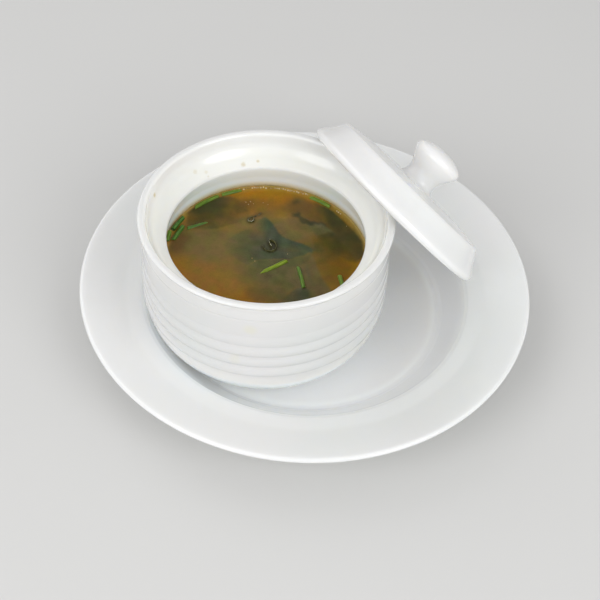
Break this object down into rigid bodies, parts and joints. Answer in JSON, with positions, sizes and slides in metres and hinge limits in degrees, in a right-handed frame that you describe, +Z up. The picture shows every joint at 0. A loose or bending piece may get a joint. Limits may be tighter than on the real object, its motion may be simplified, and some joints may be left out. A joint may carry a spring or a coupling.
{
  "type": "miso soup in a lidded pot",
  "caption": "Miso soup with cut chives and seaweed in a ringed white porcelain pot on an under-plate, its knobbed lid leaning on the pot.",
  "frame": {"origin": "middle of the plate's foot ring, on the table it stands on", "axes": "+Z up; seen from -Y the lid leans on the right-hand side of the pot, with its knob to the back right"},
  "size_m": [0.2096, 0.2096, 0.0935],
  "materials": {
    "plate": "glossy white glaze, slightly cool",
    "pot": "glossy white glaze, slightly warm inside",
    "lid": "glossy white glaze",
    "soup": "glossy cloudy brown broth",
    "chive": "wet green leaf",
    "seaweed": "wet dark green leaf"
  },
  "bodies": {
    "root": {"plate": "plate", "pot": "pot", "lid": "lid", "soup": "soup", "chive_1": "chive", "chive_2": "chive", "chive_3": "chive", "chive_4": "chive", "chive_5": "chive", "chive_6": "chive", "chive_7": "chive", "chive_8": "chive", "chive_9": "chive", "chive_10": "chive", "wakame_curl": "seaweed", "wakame_stem": "seaweed"}
  },
  "joints": []
}
